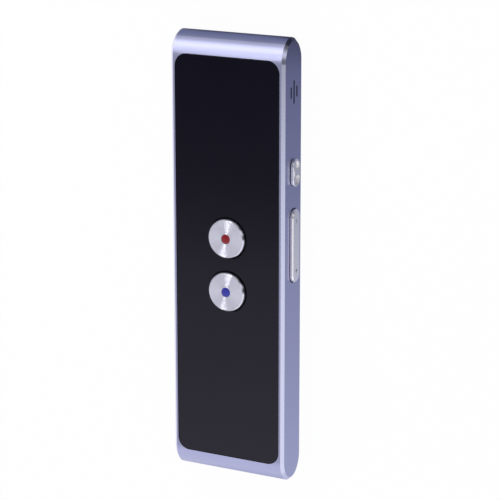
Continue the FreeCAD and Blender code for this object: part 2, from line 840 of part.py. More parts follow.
def protection_y():
    top = battery_bottom_y + battery_length
    return (top, top + protection_board_length)


def make_protection_board():
    middle = sum(battery_z()) / 2
    half = protection_board_thickness / 2
    return block((battery_left_x + battery_end_inset, battery_right_x - battery_end_inset),
                 protection_y(), (middle - half, middle + half))


def make_battery_leads():
    """Two flat leads that run out from the protection board and turn up to the main board."""
    middle = sum(battery_z()) / 2
    low_z = middle - lead_thickness / 2
    start_y = protection_y()[1]
    end_y = start_y + lead_run
    leads = []
    for side in (-1, 1):
        left = battery_centre_x + side * lead_spacing / 2 - lead_width / 2
        x = (left, left + lead_width)
        leads.append(joined([block(x, (start_y, end_y), (low_z, low_z + lead_thickness)),
                             block(x, (end_y - lead_thickness, end_y), (low_z, board_bottom))]))
    return Part.makeCompound(leads)


PARTS = {
    "housing": make_housing,
    "front_panel": make_front_panel,
    "panel_tape": make_panel_tape,
    "key_frame": make_key_frame,
    "frame_screws": make_frame_screws,
    "main_board": make_main_board,
    "shield_can": make_shield_can,
    "radio_chip": make_radio_chip,
    "board_chips": make_board_chips,
    "antenna": make_antenna,
    "status_light": make_status_light,
    "red_key_cap": lambda: make_key_cap(red_key_y),
    "red_key_dot": lambda: make_key_dot(red_key_y),
    "red_key_carrier": lambda: make_key_carrier(red_key_y),
    "red_switch": lambda: make_talk_switch(red_key_y),
    "red_switch_plunger": lambda: make_talk_plunger(red_key_y),
    "blue_key_cap": lambda: make_key_cap(blue_key_y),
    "blue_key_dot": lambda: make_key_dot(blue_key_y),
    "blue_key_carrier": lambda: make_key_carrier(blue_key_y),
    "blue_switch": lambda: make_talk_switch(blue_key_y),
    "blue_switch_plunger": lambda: make_talk_plunger(blue_key_y),
    "volume_key": make_volume_key,
    "volume_pin": make_volume_pin,
    "volume_bracket": make_volume_bracket,
    "volume_switches": make_volume_switches,
    "volume_up_plunger": lambda: make_volume_plunger(switch_places["up"]),
    "volume_down_plunger": lambda: make_volume_plunger(switch_places["down"]),
    "power_cap": make_power_cap,
    "power_carrier": make_power_carrier,
    "power_switch": make_power_switch,
    "power_lever": make_power_lever,
    "speaker_box": make_speaker_box,
    "speaker_driver": make_speaker_driver,
    "speaker_mesh": make_speaker_mesh,
    "socket_shell": make_socket_shell,
    "socket_tongue": make_socket_tongue,
    "microphone": make_microphone,
    "microphone_boot": make_microphone_boot,
    "battery_cell": make_battery_cell,
    "battery_tape": make_battery_tape,
    "protection_board": make_protection_board,
    "battery_leads": make_battery_leads,
}


def main():
    os.makedirs("parts", exist_ok=True)
    for name, make in PARTS.items():
        shape = make()
        if not shape.isValid() or not shape.Solids:
            raise RuntimeError(f"{name} isn't a valid solid")
        shape.exportStep(f"parts/{name}.step")
        box = shape.BoundBox
        print(f"{name}: {len(shape.Solids)} solid, {shape.Volume:.2f} mm3,"
              f" x {box.XMin:.2f} to {box.XMax:.2f}, y {box.YMin:.2f} to {box.YMax:.2f},"
              f" z {box.ZMin:.2f} to {box.ZMax:.2f}")


main()
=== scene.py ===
"""Handheld voice translator: its finishes, turned talk keys, small marks and studio."""

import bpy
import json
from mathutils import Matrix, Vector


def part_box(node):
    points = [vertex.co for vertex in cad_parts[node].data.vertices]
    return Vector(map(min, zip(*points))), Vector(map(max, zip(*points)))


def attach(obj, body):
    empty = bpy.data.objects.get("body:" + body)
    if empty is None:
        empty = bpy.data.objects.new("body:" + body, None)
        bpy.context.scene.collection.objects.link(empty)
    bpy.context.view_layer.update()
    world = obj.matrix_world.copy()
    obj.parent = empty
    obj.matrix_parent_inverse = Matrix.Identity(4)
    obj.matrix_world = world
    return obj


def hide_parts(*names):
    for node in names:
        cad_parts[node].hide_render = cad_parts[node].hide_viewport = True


bl_info = {
    "name": "Handheld translator",
    "version": (1, 0, 0),
    "blender": (4, 5, 0),
    "location": "3D View > Sidebar > Translator",
    "description": "Dresses the handheld translator and sets up its studio",
    "category": "Object",
}

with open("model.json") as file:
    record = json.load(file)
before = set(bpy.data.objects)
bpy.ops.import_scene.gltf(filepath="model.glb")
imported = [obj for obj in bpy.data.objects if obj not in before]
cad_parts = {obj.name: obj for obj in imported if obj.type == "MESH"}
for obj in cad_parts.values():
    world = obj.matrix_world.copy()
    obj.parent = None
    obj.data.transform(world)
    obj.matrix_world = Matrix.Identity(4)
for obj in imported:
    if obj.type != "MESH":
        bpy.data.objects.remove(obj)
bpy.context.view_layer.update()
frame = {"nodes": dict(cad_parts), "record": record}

import json
import math

import bmesh
import bpy
from bpy.props import FloatProperty, FloatVectorProperty, IntProperty, PointerProperty
from mathutils import Matrix, Vector

MM = 0.001


class Term:
    """A shader value that takes part in Python expressions, which add Math nodes."""

    def __init__(self, finish, socket):
        self.finish = finish
        self.socket = socket

    def math(self, operation, *values):
        return self.finish.node("ShaderNodeMath", {"operation": operation}, dict(enumerate(values)))

    def __add__(self, other):
        return self.math("ADD", self, other)

    def __radd__(self, other):
        return self.math("ADD", other, self)

    def __sub__(self, other):
        return self.math("SUBTRACT", self, other)

    def __rsub__(self, other):
        return self.math("SUBTRACT", other, self)

    def __mul__(self, other):
        return self.math("MULTIPLY", self, other)

    def __rmul__(self, other):
        return self.math("MULTIPLY", other, self)

    def __truediv__(self, other):
        return self.math("DIVIDE", self, other)

    def __abs__(self):
        return self.math("ABSOLUTE", self)

    def root(self):
        return self.math("SQRT", self)

    def sine(self):
        return self.math("SINE", self)

    def between(self, low, high):
        """1 where this value lies between low and high, else 0."""
        return self.math("GREATER_THAN", self, low) * self.math("LESS_THAN", self, high)

    def smooth(self, low, high, start=0.0, end=1.0):
        """Goes smoothly from start to end while this value goes from low to high."""
        return self.finish.node("ShaderNodeMapRange", {"interpolation_type": "SMOOTHSTEP", "clamp": True},
                                {0: self, 1: low, 2: high, 3: start, 4: end})


class Finish:
    """The node tree of a material or world, filled in step by step."""

    def __init__(self, owner):
        owner.use_nodes = True
        self.tree = owner.node_tree
        self.tree.nodes.clear()

    def node(self, kind, settings=None, values=None, output=0):
        """Adds a node, sets its settings, then its sockets. Gives one output, or all for None."""
        made = self.tree.nodes.new(kind)
        for name, value in (settings or {}).items():
            if name == "stops":
                self.set_stops(made.color_ramp, value)
            else:
                setattr(made, name, value)
        for name, value in (values or {}).items():
            if isinstance(value, Term):
                self.tree.links.new(value.socket, made.inputs[name])
            else:
                made.inputs[name].default_value = value
        if output is None:
            return [Term(self, socket) for socket in made.outputs]
        return Term(self, made.outputs[output]) if made.outputs else None

    def set_stops(self, ramp, stops):
        for place, colour in stops[1:-1]:
            ramp.elements.new(place)
        for element, (place, colour) in zip(ramp.elements, stops):
            element.position = place
            element.color = (*colour, 1.0)

    def place(self):
        return self.node("ShaderNodeTexCoord", output="Object")

    def facing(self):
        return self.node("ShaderNodeNewGeometry", output="Normal")

    def parts(self, vector):
        return self.node("ShaderNodeSeparateXYZ", {}, {0: vector}, output=None)

    def vector(self, operation, first, second):
        return self.node("ShaderNodeVectorMath", {"operation": operation}, {0: first, 1: second})

    def noise(self, scale, detail=2.0, stretch=(1.0, 1.0, 1.0)):
        """A noise from 0 to 1 whose grain is about 1 / scale metres across."""
        where = self.vector("MULTIPLY", self.place(), stretch)
        return self.node("ShaderNodeTexNoise", {}, {"Vector": where, "Scale": scale, "Detail": detail})

    def mix(self, share, first, second):
        return self.node("ShaderNodeMix", {"data_type": "RGBA"}, {0: share, 6: first, 7: second}, output=2)

    def ramp(self, place, stops):
        """A value read from stops of place and level."""
        greys = [(stop, (level, level, level)) for stop, level in stops]
        return self.node("ShaderNodeValToRGB", {"stops": greys}, {0: place})

    def bump(self, height, distance):
        return self.node("ShaderNodeBump", {}, {"Height": height, "Distance": distance, "Strength": 1.0})

    def surface(self, values):
        shader = self.node("ShaderNodeBsdfPrincipled", {}, values)
        self.node("ShaderNodeOutputMaterial", {}, {"Surface": shader})


def opaque(colour, share=1.0):
    """A colour as four numbers, made darker or lighter by share."""
    return (*(min(1.0, part * share) for part in colour[:3]), 1.0)


# Finishes

# Where the slits cut the right wall, which gets painted shade there: spans across, along and up
SLIT_ZONE = ((0.015, 0.01832), (0.036, 0.056), (0.0015, 0.0105))
# The sideways tilt of a surface at which the bevel fades in and out
BEVEL_IN = (0.5, 0.6)
BEVEL_OUT = (0.8, 0.9)
# Broad patches of the blasting, as a share of the grain's rate
PATCH_SHARE = 1 / 60
SLIT_ROUGHNESS = 0.4
MESH_RATE = 21000.0


def blasted_metal(finish, look):
    """Satin anodised aluminium with a fine blasted grain, a bright machined bevel and painted shade in the
    slits.
    """
    tilt = abs(finish.parts(finish.facing())[0])
    inside = [part.between(*span) for part, span in zip(finish.parts(finish.place()), SLIT_ZONE)]
    slits = inside[0] * inside[1] * inside[2]
    bevel = tilt.smooth(*BEVEL_IN) * tilt.smooth(*BEVEL_OUT, 1.0, 0.0)
    fine = finish.noise(look.grain_rate, 3.0)
    broad = finish.noise(look.grain_rate * PATCH_SHARE, 2.0)
    cloud = fine * 0.5 + broad * 0.5
    satin = finish.mix(cloud, opaque(look.metal_colour, 0.94), opaque(look.metal_colour, 1.05))
    colour = finish.mix(bevel, satin, opaque(look.bevel_colour))
    # Painted shade: the slit walls turn near black and lose their metal, standing in for the shade deep in
    # the slits
    colour = finish.mix(slits, colour, opaque(look.slit_shade_colour))
    roughness = (look.metal_roughness + fine * 0.08 + broad * 0.03 - 0.055) * (1 - bevel)
    finish.surface({"Base Color": colour, "Metallic": 1 - slits,
                    "Roughness": roughness + bevel * look.bevel_roughness + slits * SLIT_ROUGHNESS,
                    "Normal": finish.bump(fine * (1 - bevel), look.grain_depth)})


def gloss_panel(finish, look):
    """Black gloss plastic with the faintest unevenness from handling."""
    haze = finish.noise(90.0, 3.0)
    streak = finish.noise(700.0, 2.0, (1.0, 0.15, 1.0))
    colour = finish.mix(haze, opaque(look.panel_colour, 0.9), opaque(look.panel_colour, 1.15))
    finish.surface({"Base Color": colour, "Roughness": 0.04 + haze * 0.03 + streak * 0.015,
                    "Specular IOR Level": 0.5, "Specular Tint": (0.95, 0.90, 1.0, 1.0)})


def turned_face(finish, keys, centre):
    """Metal faced on a lathe: fine rings round the centre tip the surface in and out."""
    across, along = finish.parts(finish.vector("SUBTRACT", finish.place(), centre))[:2]
    radius = (across * across + along * along).root()
    tilt = (radius * keys.ring_rate).sine() * keys.ring_tilt
    leaning = finish.node("ShaderNodeCombineXYZ", {},
                          {0: across / radius * tilt, 1: along / radius * tilt, 2: 1.0})
    normal = finish.node("ShaderNodeVectorMath", {"operation": "NORMALIZE"}, {0: leaning})
    coarse = finish.node("ShaderNodeTexNoise", {"noise_dimensions": "1D"},
                         {"W": radius * (keys.ring_rate / 20), "Scale": 1.0, "Detail": 1.0})
    colour = finish.mix(coarse, opaque(keys.metal_colour, 0.92), opaque(keys.metal_colour, 1.05))
    finish.surface({"Base Color": colour, "Metallic": 1.0, "Roughness": 0.16 + coarse * 0.05,
                    "Normal": normal})


def polished_metal(finish, colour):
    """Bright metal with faint lengthwise polishing lines."""
    lines = finish.noise(3000.0, 2.0, (1.0, 1.0, 6.0))
    finish.surface({"Base Color": finish.mix(lines, opaque(colour, 0.95), opaque(colour, 1.03)),
                    "Metallic": 1.0, "Roughness": 0.1 + lines * 0.06})


def satin_metal(finish, colour):
    """Plain satin metal of the side controls, with a fine grain along them."""
    grain = finish.noise(7000.0, 3.0, (1.0, 0.3, 1.0))
    finish.surface({"Base Color": finish.mix(grain, opaque(colour, 0.97), opaque(colour, 1.02)),
                    "Metallic": 1.0, "Roughness": 0.25 + grain * 0.05,
                    "Normal": finish.bump(grain, 0.0000004)})


def enamel(finish, colour):
    """Filled gloss enamel, a little uneven."""
    cloud = finish.noise(1500.0, 2.0)
    finish.surface({"Base Color": finish.mix(cloud, opaque(colour, 0.75), opaque(colour, 1.2)),
                    "Roughness": 0.18 + cloud * 0.1, "Coat Weight": 0.4,
                    "Normal": finish.bump(cloud, 0.00001)})


def moulded(finish, colour, rough, grain):
    """Moulded plastic or rubber with a spark-eroded grain."""
    fine = finish.noise(grain, 3.0)
    finish.surface({"Base Color": finish.mix(fine, opaque(colour, 0.85), opaque(colour, 1.12)),
                    "Roughness": rough + fine * 0.12, "Normal": finish.bump(fine, 0.00001)})


def drawn_steel(finish, colour):
    """Rolled steel sheet with fine lines."""
    lines = finish.noise(2500.0, 3.0, (0.15, 1.0, 1.0))
    finish.surface({"Base Color": finish.mix(lines, opaque(colour, 0.85), opaque(colour, 1.1)),
                    "Metallic": 1.0, "Roughness": 0.25 + lines * 0.15,
                    "Normal": finish.bump(lines, 0.000003)})


def solder_mask(finish, colour):
    """Green board with tracks that show as raised paler lines."""
    across, along = finish.parts(finish.place())[:2]
    lanes = (across * 5200.0).sine().smooth(0.2, 0.5) * finish.noise(160.0, 0.0).smooth(0.5, 0.52)
    rungs = (along * 4100.0).sine().smooth(0.3, 0.6) * finish.noise(130.0, 0.0).smooth(0.55, 0.57)
    tracks = lanes + rungs * (1 - lanes)
    finish.surface({"Base Color": finish.mix(tracks, opaque(colour, 0.85), opaque(colour, 1.7)),
                    "Roughness": 0.35 - tracks * 0.08, "Normal": finish.bump(tracks, 0.00003)})


def foil_pouch(finish, colour):
    """Crinkled foil round the cell."""
    crinkle = finish.noise(220.0, 5.0)
    finish.surface({"Base Color": finish.mix(crinkle, opaque(colour, 0.85), opaque(colour, 1.1)),
                    "Metallic": 0.8, "Roughness": 0.3 + crinkle * 0.15,
                    "Normal": finish.bump(crinkle, 0.0003)})


def woven_mesh(finish, colour):
    """Fine acoustic mesh: threads over black gaps."""
    along, up = finish.parts(finish.place())[1:]
    threads = (along * MESH_RATE).sine().smooth(-0.2, 0.5) + (up * MESH_RATE).sine().smooth(-0.2, 0.5)
    finish.surface({"Base Color": finish.mix(threads * 0.5, opaque(colour, 0.01), opaque(colour, 0.08)),
                    "Roughness": 0.55, "Normal": finish.bump(threads, 0.00003)})


def slot_finish(slot, colour):
    """The material of a record slot, made once."""
    made = bpy.data.materials.get(slot + "_finish")
    if made:
        return made
    made = bpy.data.materials.new(slot + "_finish")
    finish = Finish(made)
    look = bpy.context.scene.translator_body
    keys = bpy.context.scene.translator_keys
    if slot == "body_metal":
        blasted_metal(finish, look)
    elif slot == "front_panel":
        gloss_panel(finish, look)
    elif slot == "key_metal":
        polished_metal(finish, keys.metal_colour)
    elif slot == "side_key_metal":
        satin_metal(finish, keys.side_colour)
    elif slot in ("steel", "copper"):
        drawn_steel(finish, colour)
    elif slot == "board":
        solder_mask(finish, colour)
    elif slot == "cell_wrap":
        foil_pouch(finish, colour)
    elif slot == "foam":
        moulded(finish, colour, 0.75, 2500.0)
    elif slot == "wire":
        moulded(finish, colour, 0.4, 5000.0)
    else:
        moulded(finish, colour, 0.45, 6000.0)
    return made


SLOT_COLOURS = {entry["slot"]: entry["base_color"] for entry in frame["record"]["materials"]}


def dress(piece, material):
    """Gives a piece one material all over."""
    if not piece.data.materials:
        piece.data.materials.append(material)
    for holder in piece.material_slots:
        holder.material = material


# Mesh makers

# A radius below this lies on the axis
ON_AXIS = 1e-9


def eased(points, reach, steps=3):
    """A profile with its inner corners rounded over a reach."""
    out = [points[0]]
    for before, corner, after in zip(points, points[1:], points[2:]):
        corner = Vector(corner)
        start = corner + (Vector(before) - corner).normalized() * reach
        end = corner + (Vector(after) - corner).normalized() * reach
        for i in range(steps + 1):
            t = i / steps
            out.append(tuple(start * (1 - t) ** 2 + corner * (2 * t * (1 - t)) + end * t ** 2))
    return out + [points[-1]]


def turned(mesh, centre, profile, steps):
    """Turns a profile of radius and height round a centre. It starts and ends on the axis."""
    rings = []
    for radius, height in profile:
        count = 1 if radius < ON_AXIS else steps
        rings.append([mesh.verts.new((centre.x + radius * math.cos(2 * math.pi * i / steps),
                                      centre.y + radius * math.sin(2 * math.pi * i / steps), height))
                      for i in range(count)])
    for low, high in zip(rings, rings[1:]):
        for i in range(steps):
            j = (i + 1) % steps
            around = (low[i % len(low)], low[j % len(low)], high[j % len(high)], high[i % len(high)])
            mesh.faces.new(list(dict.fromkeys(around)))


def finished(name, mesh, materials, body, sharp=40.0):
    """Turns a bmesh into a piece that rides on a body."""
    bmesh.ops.recalc_face_normals(mesh, faces=mesh.faces)
    data = bpy.data.meshes.new(name)
    mesh.to_mesh(data)
    mesh.free()
    for material in materials:
        data.materials.append(material)
    data.shade_smooth()
    data.set_sharp_from_angle(angle=math.radians(sharp))
    piece = bpy.data.objects.new(name, data)
    bpy.context.scene.collection.objects.link(piece)
    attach(piece, body)
    return piece


def bar(mesh, centre, half, ease):
    """A small block with its edges bevelled."""
    made = bmesh.ops.create_cube(mesh, size=1.0)
    bmesh.ops.scale(mesh, vec=Vector(half) * 2, verts=made["verts"])
    bmesh.ops.translate(mesh, vec=centre, verts=made["verts"])
    edges = list({edge for vert in made["verts"] for edge in vert.link_edges})
    bmesh.ops.bevel(mesh, geom=edges, offset=ease, segments=2, affect="EDGES", profile=0.5)


# Talk keys

# Points in one wave of the broad rings, and in the rise of a dot's crown
RING_POINTS = 4
CROWN_POINTS = 8
# A face of the cap that points up by more than this is turned, and the rest is polished
LEVEL = 0.9
# An edge of the cap stays sharp above this angle in degrees
CAP_SHARP = 25.0


def key_cap(colour_name, keys):
    """A turned cap with an eased rim, shallow rings on its face and a recess for the dot."""
    low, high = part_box(colour_name + "_key_cap")
    dot_low, dot_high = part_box(colour_name + "_key_dot")
    centre = (low + high) / 2
    radius, top, bottom = (high.x - low.x) / 2, high.z, low.z
    dot_radius = (dot_high.x - dot_low.x) / 2
    inner = radius - keys.wall
    face = radius - keys.rim
    bead = top - keys.bead_drop
    outside = eased([(0.0, top - keys.roof), (inner, top - keys.roof), (inner, bottom), (radius, bottom),
                     (radius, bead - keys.bead), (radius + keys.bead, bead), (radius, bead + keys.bead),
                     (radius, top - keys.rim), (face, top), (face - keys.rim, top)], keys.ease)
    outer = face - keys.rim * 2
    width = outer - (dot_radius + keys.rim * 2)
    count = int(width / keys.ring_pitch) * RING_POINTS
    rings = []
    for i in range(count + 1):
        drop = keys.ring_depth * (1 - math.cos(2 * math.pi * i / RING_POINTS)) / 2
        rings.append((outer - width * i / count, top - drop))
    recess = eased([(dot_radius + keys.rim, top), (dot_radius, top), (dot_radius, dot_low.z),
                    (0.0, dot_low.z)], keys.ease)
    mesh = bmesh.new()
    turned(mesh, centre, outside + rings + recess, keys.steps)
    mesh.normal_update()
    for polygon in mesh.faces:
        middle = polygon.calc_center_median()
        if middle.z > top - keys.ease and abs(polygon.normal.z) > LEVEL:
            polygon.material_index = 1
    wall = slot_finish("key_metal", SLOT_COLOURS["key_metal"])
    facing = bpy.data.materials.new(colour_name + "_turned_face")
    turned_face(Finish(facing), keys, centre)
    cap = finished(colour_name + "_key_turned_cap", mesh, [wall, facing], colour_name + "_key",
                   CAP_SHARP)
    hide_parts(colour_name + "_key_cap")


def key_dot(colour_name, keys, colour):
    """A filled dot with a low crown, just clear of its recess."""
    low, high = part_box(colour_name + "_key_dot")
    centre = (low + high) / 2
    radius = (high.x - low.x) / 2 - keys.dot_gap
    profile = [(0.0, low.z), (radius, low.z), (radius, high.z - keys.dot_crown)]
    for i in range(1, CROWN_POINTS + 1):
        turn = math.pi / 2 * i / CROWN_POINTS
        profile.append((radius * math.cos(turn), high.z - keys.dot_crown * (1 - math.sin(turn))))
    profile[-1] = (0.0, high.z)
    mesh = bmesh.new()
    turned(mesh, centre, profile, keys.steps)
    paint = bpy.data.materials.new(colour_name + "_enamel")
    enamel(Finish(paint), colour)
    dot = finished(colour_name + "_key_enamel_dot", mesh, [paint], colour_name + "_key")
    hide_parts(colour_name + "_key_dot")


# Settings

class BodyLook(bpy.types.PropertyGroup):
    """Colours and grain of the body and the front panel."""

    metal_colour: FloatVectorProperty(name="Body metal", description="Colour of the anodised body",
                                      default=(0.43, 0.44, 0.63), subtype="COLOR", min=0.0, max=1.0)
    bevel_colour: FloatVectorProperty(name="Bevel", description="Colour of the machined bevel",
                                      default=(0.62, 0.63, 0.78), subtype="COLOR", min=0.0, max=1.0)
    # Painted shade: the near black that stands in for the shade inside the speaker's slits
    slit_shade_colour: FloatVectorProperty(name="Slits", description="Colour inside the speaker's slits",
                                     default=(0.008, 0.008, 0.012), subtype="COLOR", min=0.0, max=1.0)
    panel_colour: FloatVectorProperty(name="Front panel", description="Colour of the gloss panel",
                                      default=(0.006, 0.0055, 0.011), subtype="COLOR", min=0.0, max=1.0)
    metal_roughness: FloatProperty(name="Body roughness", description="Roughness of the blasted metal",
                                   default=0.34, min=0.0, max=1.0)
    bevel_roughness: FloatProperty(name="Bevel roughness", description="Roughness of the machined bevel",
                                   default=0.2, min=0.0, max=1.0)
    grain_rate: FloatProperty(name="Grain", description="Blasted grains in a metre",
                              default=6000.0, min=100.0)
    grain_depth: FloatProperty(name="Grain depth", description="Height of the blasted grain",
                               default=0.000002, unit="LENGTH")


class KeyLook(bpy.types.PropertyGroup):
    """Sizes and colours of the talk keys and the side controls."""

    metal_colour: FloatVectorProperty(name="Key metal", description="Colour of the turned caps",
                                      default=(0.70, 0.69, 0.78), subtype="COLOR", min=0.0, max=1.0)
    side_colour: FloatVectorProperty(name="Side controls", description="Colour of the rocker and slider",
                                     default=(0.92, 0.9, 0.9), subtype="COLOR", min=0.0, max=1.0)
    red: FloatVectorProperty(name="Red dot", description="Colour of the upper key's dot",
                             default=(0.26, 0.004, 0.012), subtype="COLOR", min=0.0, max=1.0)
    blue: FloatVectorProperty(name="Blue dot", description="Colour of the lower key's dot",
                              default=(0.03, 0.035, 0.36), subtype="COLOR", min=0.0, max=1.0)
    mark_colour: FloatVectorProperty(name="Marks", description="Ink of the rocker's marks",
                                     default=(0.12, 0.12, 0.14), subtype="COLOR", min=0.0, max=1.0)
    wall: FloatProperty(name="Cap wall", description="Thickness of the cap's side",
                        default=0.0009, unit="LENGTH")
    roof: FloatProperty(name="Cap roof", description="Thickness of the cap's face",
                        default=0.0009, unit="LENGTH")
    rim: FloatProperty(name="Rim", description="Width of the chamfer round the face",
                       default=0.00035, unit="LENGTH")
    ease: FloatProperty(name="Ease", description="Rounding of the edges", default=0.00005, unit="LENGTH")
    ring_pitch: FloatProperty(name="Ring pitch", description="Distance between two broad lathe rings",
                              default=0.00045, unit="LENGTH")
    ring_depth: FloatProperty(name="Ring depth", description="Depth of a broad lathe ring",
                              default=0.000006, unit="LENGTH")
    bead: FloatProperty(name="Bead", description="Reach of the bead round the cap's side",
                        default=0.00005, unit="LENGTH")
    bead_drop: FloatProperty(name="Bead drop", description="From the cap's face to its bead",
                             default=0.0008, unit="LENGTH")
    ring_rate: FloatProperty(name="Fine rings", description="Radians of the fine rings' wave in a metre",
                             default=57000.0)
    ring_tilt: FloatProperty(name="Ring tilt", description="How far the fine rings tip the surface",
                             default=0.35)
    dot_gap: FloatProperty(name="Dot gap", description="Gap round the dot", default=0.00002, unit="LENGTH")
    dot_crown: FloatProperty(name="Dot crown", description="Height of the dot's crown",
                             default=0.0001, unit="LENGTH")
    mark_length: FloatProperty(name="Mark length", description="Length of the plus and minus marks",
                               default=0.0012, unit="LENGTH")
    mark_width: FloatProperty(name="Mark width", description="Width of a mark's stroke",
                              default=0.0003, unit="LENGTH")
    mark_proud: FloatProperty(name="Mark height", description="Height of the ink",
                              default=0.00001, unit="LENGTH")
    mark_reach: FloatProperty(name="Mark place", description="From the rocker's middle to a mark",
                              default=0.0075, unit="LENGTH")
    steps: IntProperty(name="Steps", description="Faces round a turned piece", default=128, min=12)


class StudioLook(bpy.types.PropertyGroup):
    """Sizes and levels of the studio."""

    floor_colour: FloatVectorProperty(name="Floor", description="Colour of the floor",
                                      default=(0.9, 0.9, 0.9), subtype="COLOR", min=0.0, max=1.0)
    floor_size: FloatProperty(name="Floor size", description="Side of the floor", default=6.0, unit="LENGTH")
    sky_colour: FloatVectorProperty(name="Sky colour", description="Tint of the light from all round",
                                    default=(0.93, 0.94, 1.0), subtype="COLOR", min=0.0, max=1.0)
    sky_level: FloatProperty(name="Sky", description="Level of the light from the bottom end", default=1.1)
    sky_far: FloatProperty(name="Sky beyond", description="Share of that level beyond the top end",
                           default=0.5)
    top_lamp: FloatProperty(name="Top lamp", description="Power of the lamp over the top end",
                            default=2.3, unit="POWER")
    key_lamp: FloatProperty(name="Key lamp", description="Power of the lamp that catches the talk keys",
                            default=0.42, unit="POWER")
    lens: FloatProperty(name="Lens", description="Focal length in millimetres", default=147.17)


# Steps

class TRANSLATOR_OT_inner_parts(bpy.types.Operator):
    """Gives every carried-over piece the finish of its slot"""

    bl_idname = "translator.inner_parts"
    bl_label = "Dress the carried-over pieces"

    def execute(self, context):
        for entry in frame["record"]["subparts"]:
            slot = entry["material_slot"]
            dress(frame["nodes"][entry["node"]], slot_finish(slot, SLOT_COLOURS[slot]))
        mesh = bpy.data.materials.new("acoustic_mesh")
        woven_mesh(Finish(mesh), SLOT_COLOURS["steel"])
        dress(frame["nodes"]["speaker_mesh"], mesh)
        return {"FINISHED"}


class TRANSLATOR_OT_talk_keys(bpy.types.Operator):
    """Makes the turned caps and enamel dots of the talk keys"""

    bl_idname = "translator.talk_keys"
    bl_label = "Make the talk keys"

    def execute(self, context):
        keys = context.scene.translator_keys
        for colour_name, colour in (("red", keys.red), ("blue", keys.blue)):
            key_cap(colour_name, keys)
            key_dot(colour_name, keys, colour)
        return {"FINISHED"}


class TRANSLATOR_OT_volume_marks(bpy.types.Operator):
    """Prints a minus and a plus on the rocker"""

    bl_idname = "translator.volume_marks"
    bl_label = "Print the rocker's marks"

    def execute(self, context):
        keys = context.scene.translator_keys
        low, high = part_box("volume_key")
        middle = (low + high) / 2
        stroke = (keys.mark_proud * 2, keys.mark_length / 2, keys.mark_width / 2)
        ink = bpy.data.materials.new("rocker_ink")
        moulded(Finish(ink), keys.mark_colour, 0.4, 8000.0)
        minus_at = Vector((high.x - keys.mark_proud, middle.y + keys.mark_reach, middle.z))
        plus_at = Vector((high.x - keys.mark_proud, middle.y - keys.mark_reach, middle.z))
        ease = keys.mark_proud / 2
        minus = bmesh.new()
        bar(minus, minus_at, stroke, ease)
        finished("rocker_minus", minus, [ink], "volume_rocker")
        plus = bmesh.new()
        arm = (keys.mark_length - keys.mark_width) / 4
        shift = Vector((0, keys.mark_width / 2 + arm, 0))
        short = (stroke[0], arm, keys.mark_width / 2)
        bar(plus, plus_at - shift, short, ease)
        bar(plus, plus_at, (stroke[0], keys.mark_width / 2, keys.mark_length / 2), ease)
        bar(plus, plus_at + shift, short, ease)
        finished("rocker_plus", plus, [ink], "volume_rocker")
        return {"FINISHED"}


class TRANSLATOR_OT_socket_contacts(bpy.types.Operator):
    """Lays five contact strips under the charging socket's tongue"""

    bl_idname = "translator.socket_contacts"
    bl_label = "Make the socket's contacts"

    def execute(self, context):
        low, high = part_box("socket_tongue")
        middle = (low + high) / 2
        length, width, pitch, thick = 3.2 * MM, 0.32 * MM, 0.65 * MM, 0.03 * MM
        setback, drop = 0.4 * MM, 0.02 * MM
        strips = bmesh.new()
        for i in range(-2, 3):
            centre = Vector((i * pitch, low.y + setback + length / 2, middle.z + drop - thick / 2))
            bar(strips, centre, (width / 2, length / 2, thick / 2), thick / 5)
        finished("socket_contacts", strips, [slot_finish("copper", SLOT_COLOURS["copper"])], "case")
        return {"FINISHED"}


# The camera: its place, its own right and up, its sensor in millimetres and its nearest distance
CAMERA_PLACE = Vector((0.26706, 0.16333, 0.52371))
CAMERA_RIGHT = Vector((0.891894, -0.000681, -0.452245))
CAMERA_UP = Vector((-0.119977, 0.963811, -0.238064))
SENSOR_WIDTH = 36.0
NEAREST = 0.01

# The lamps: the way to each, and its sides. Both stand at the same distance.
TOP_LAMP_AT = (-0.40, 0.68, 0.62)
TOP_LAMP_SIDES = (0.9, 0.42)
KEY_LAMP_AT = (-0.351, 0.291, 0.894)
KEY_LAMP_SIDES = (0.14, 0.24)
LAMP_DISTANCE = 0.9

# What metal mirrors in the floor, as painted reflections that only mirror rays see: colours along the
# translator, from a start over a length
FLOOR_STOPS = [(0.0, (0.8, 0.82, 0.95)), (0.12, (0.62, 0.65, 0.76)), (0.21, (0.52, 0.54, 0.65)),
               (0.32, (0.33, 0.35, 0.46)), (0.39, (0.25, 0.26, 0.36)), (0.43, (0.03, 0.03, 0.05)),
               (0.65, (0.02, 0.02, 0.03)), (1.0, (0.4, 0.4, 0.5))]
FLOOR_START = -0.1
FLOOR_LENGTH = 0.4
# Painted reflections too: the part beyond the top end, which fades in along and fades out across, and the
# part on the left
BEYOND_ALONG = (0.069, 0.075)
BEYOND_ACROSS = (0.005, 0.02)
LEFT_ACROSS = (-0.035, -0.015)
BEYOND_COLOUR = (0.28, 0.31, 0.43, 1.0)
LEFT_COLOUR = (1.1, 1.08, 1.12, 1.0)
# The floor's share of plain white to the camera. The rest shows the shadow.
FLOOR_WHITE = 0.97

# Where the sky's level falls from the bottom end to the top end, and where its right side begins
SKY_FALL = (-0.5, 0.25)
RIGHT_EDGE = (0.45, 0.7)
# What the sky holds on the right, from the bottom end to the top end
RIGHT_STOPS = [(0.0, 1.15), (0.38, 1.15), (0.41, 0.55), (0.43, 0.15), (0.53, 0.15), (0.63, 1.0),
               (0.70, 0.9), (0.80, 0.12), (1.0, 0.1)]
# A dark card that the panel mirrors: the way to it, and its levels from its edge to its middle
CARD_AT = Vector((-0.45, -0.15, 0.88)).normalized()
CARD_EDGE = 0.9
CARD_RISE = 10
CARD_STOPS = [(0.272, 1.0), (0.759, 0.62), (0.912, 0.44), (0.938, 0.27), (0.959, 0.155), (0.977, 0.11),
              (0.9966, 0.05)]
WHITE = (1.0, 1.0, 1.0, 1.0)


